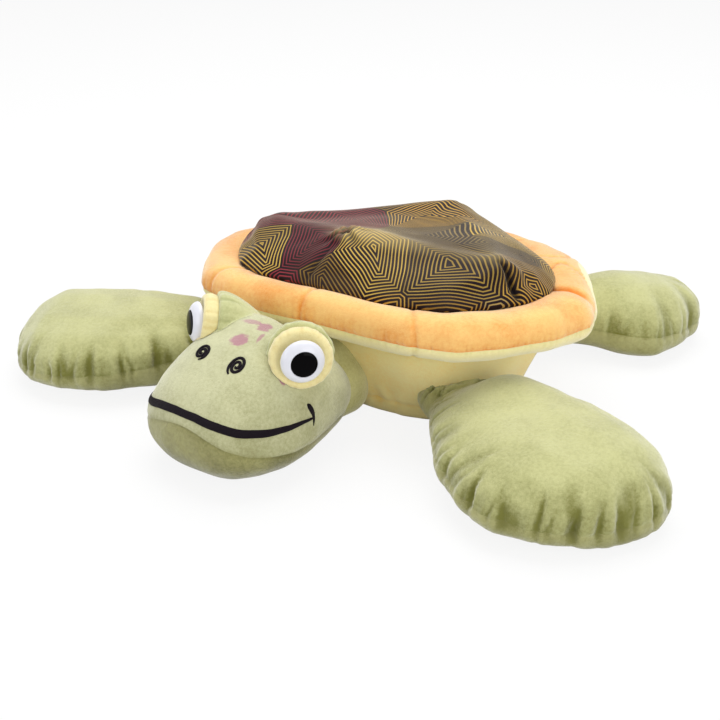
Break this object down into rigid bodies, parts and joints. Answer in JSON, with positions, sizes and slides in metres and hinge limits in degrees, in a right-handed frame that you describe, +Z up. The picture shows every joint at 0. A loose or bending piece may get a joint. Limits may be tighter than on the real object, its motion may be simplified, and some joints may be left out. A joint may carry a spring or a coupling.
{
  "type": "plush sea turtle",
  "caption": "Stuffed sea turtle lying flat, with a domed shell on a padded rim, a turning and nodding head with plastic eyes, and flapping flippers.",
  "frame": {"origin": "on the belly's flat underside, on the turtle's midline near the middle of the body, at the height of the table", "axes": "+Z up, +X towards the turtle's left side, -Y towards its head"},
  "size_m": [0.5447, 0.466, 0.1319],
  "materials": {
    "pale_green_plush": "short-pile plush, matt",
    "olive_plush": "short-pile plush, matt",
    "cream_plush": "short-pile plush, matt",
    "orange_plush": "short-pile plush, matt",
    "shell_print": "woven cloth with a gold and plum print, matt",
    "polyester_filling": "loose fibre filling",
    "white_plastic": "polished",
    "black_plastic": "polished",
    "washer_plastic": "plain moulded",
    "dark_thread": "satin stitch, slight sheen"
  },
  "bodies": {
    "body": {"belly_panel": "cream_plush", "side_wall": "cream_plush", "body_stuffing": "polyester_filling", "rim_top": "orange_plush", "rim_underside": "cream_plush", "rim_padding": "polyester_filling", "shell_cover": "shell_print", "shell_stuffing": "polyester_filling", "tail_cover": "pale_green_plush", "tail_stuffing": "polyester_filling"},
    "neck": {"neck_cover": "olive_plush", "neck_stuffing": "polyester_filling"},
    "head": {"head_cover": "pale_green_plush", "jaw_cover": "olive_plush", "head_stuffing": "polyester_filling", "mouth_line": "dark_thread", "nostril_left": "dark_thread", "nostril_right": "dark_thread", "eye_mound_left": "pale_green_plush", "eye_mound_stuffing_left": "polyester_filling", "eye_pad_left": "cream_plush", "eye_white_left": "white_plastic", "eye_pupil_left": "black_plastic", "eye_washer_left": "washer_plastic", "eye_mound_right": "pale_green_plush", "eye_mound_stuffing_right": "polyester_filling", "eye_pad_right": "cream_plush", "eye_white_right": "white_plastic", "eye_pupil_right": "black_plastic", "eye_washer_right": "washer_plastic"},
    "front_left_flipper": {"front_left_flipper_top": "pale_green_plush", "front_left_flipper_bottom": "olive_plush", "front_left_flipper_stuffing": "polyester_filling"},
    "front_right_flipper": {"front_right_flipper_top": "pale_green_plush", "front_right_flipper_bottom": "olive_plush", "front_right_flipper_stuffing": "polyester_filling"},
    "rear_left_flipper": {"rear_left_flipper_top": "pale_green_plush", "rear_left_flipper_bottom": "olive_plush", "rear_left_flipper_stuffing": "polyester_filling"},
    "rear_right_flipper": {"rear_right_flipper_top": "pale_green_plush", "rear_right_flipper_bottom": "olive_plush", "rear_right_flipper_stuffing": "polyester_filling"}
  },
  "joints": [
    {"name": "neck_turn", "type": "hinge", "parent": "body", "child": "neck", "pos_m": [-0.006, -0.066, 0.0325], "axis": [0, 0, 1], "range_deg": [-15, 15]},
    {"name": "head_nod", "type": "hinge", "parent": "neck", "child": "head", "pos_m": [-0.006, -0.066, 0.0325], "axis": [0.9976, -0.0698, 0], "range_deg": [-3, 16]},
    {"name": "front_left_flap", "type": "hinge", "parent": "body", "child": "front_left_flipper", "pos_m": [0.091, -0.038, 0.031], "axis": [-0.682, -0.7314, 0], "range_deg": [-30, 10]},
    {"name": "front_right_flap", "type": "hinge", "parent": "body", "child": "front_right_flipper", "pos_m": [-0.091, -0.038, 0.031], "axis": [-0.682, 0.7314, 0], "range_deg": [-30, 10]},
    {"name": "rear_left_flap", "type": "hinge", "parent": "body", "child": "rear_left_flipper", "pos_m": [0.068, 0.097, 0.029], "axis": [0.7986, -0.6018, 0], "range_deg": [-25, 8]},
    {"name": "rear_right_flap", "type": "hinge", "parent": "body", "child": "rear_right_flipper", "pos_m": [-0.068, 0.097, 0.029], "axis": [0.7986, 0.6018, 0], "range_deg": [-25, 8]}
  ]
}
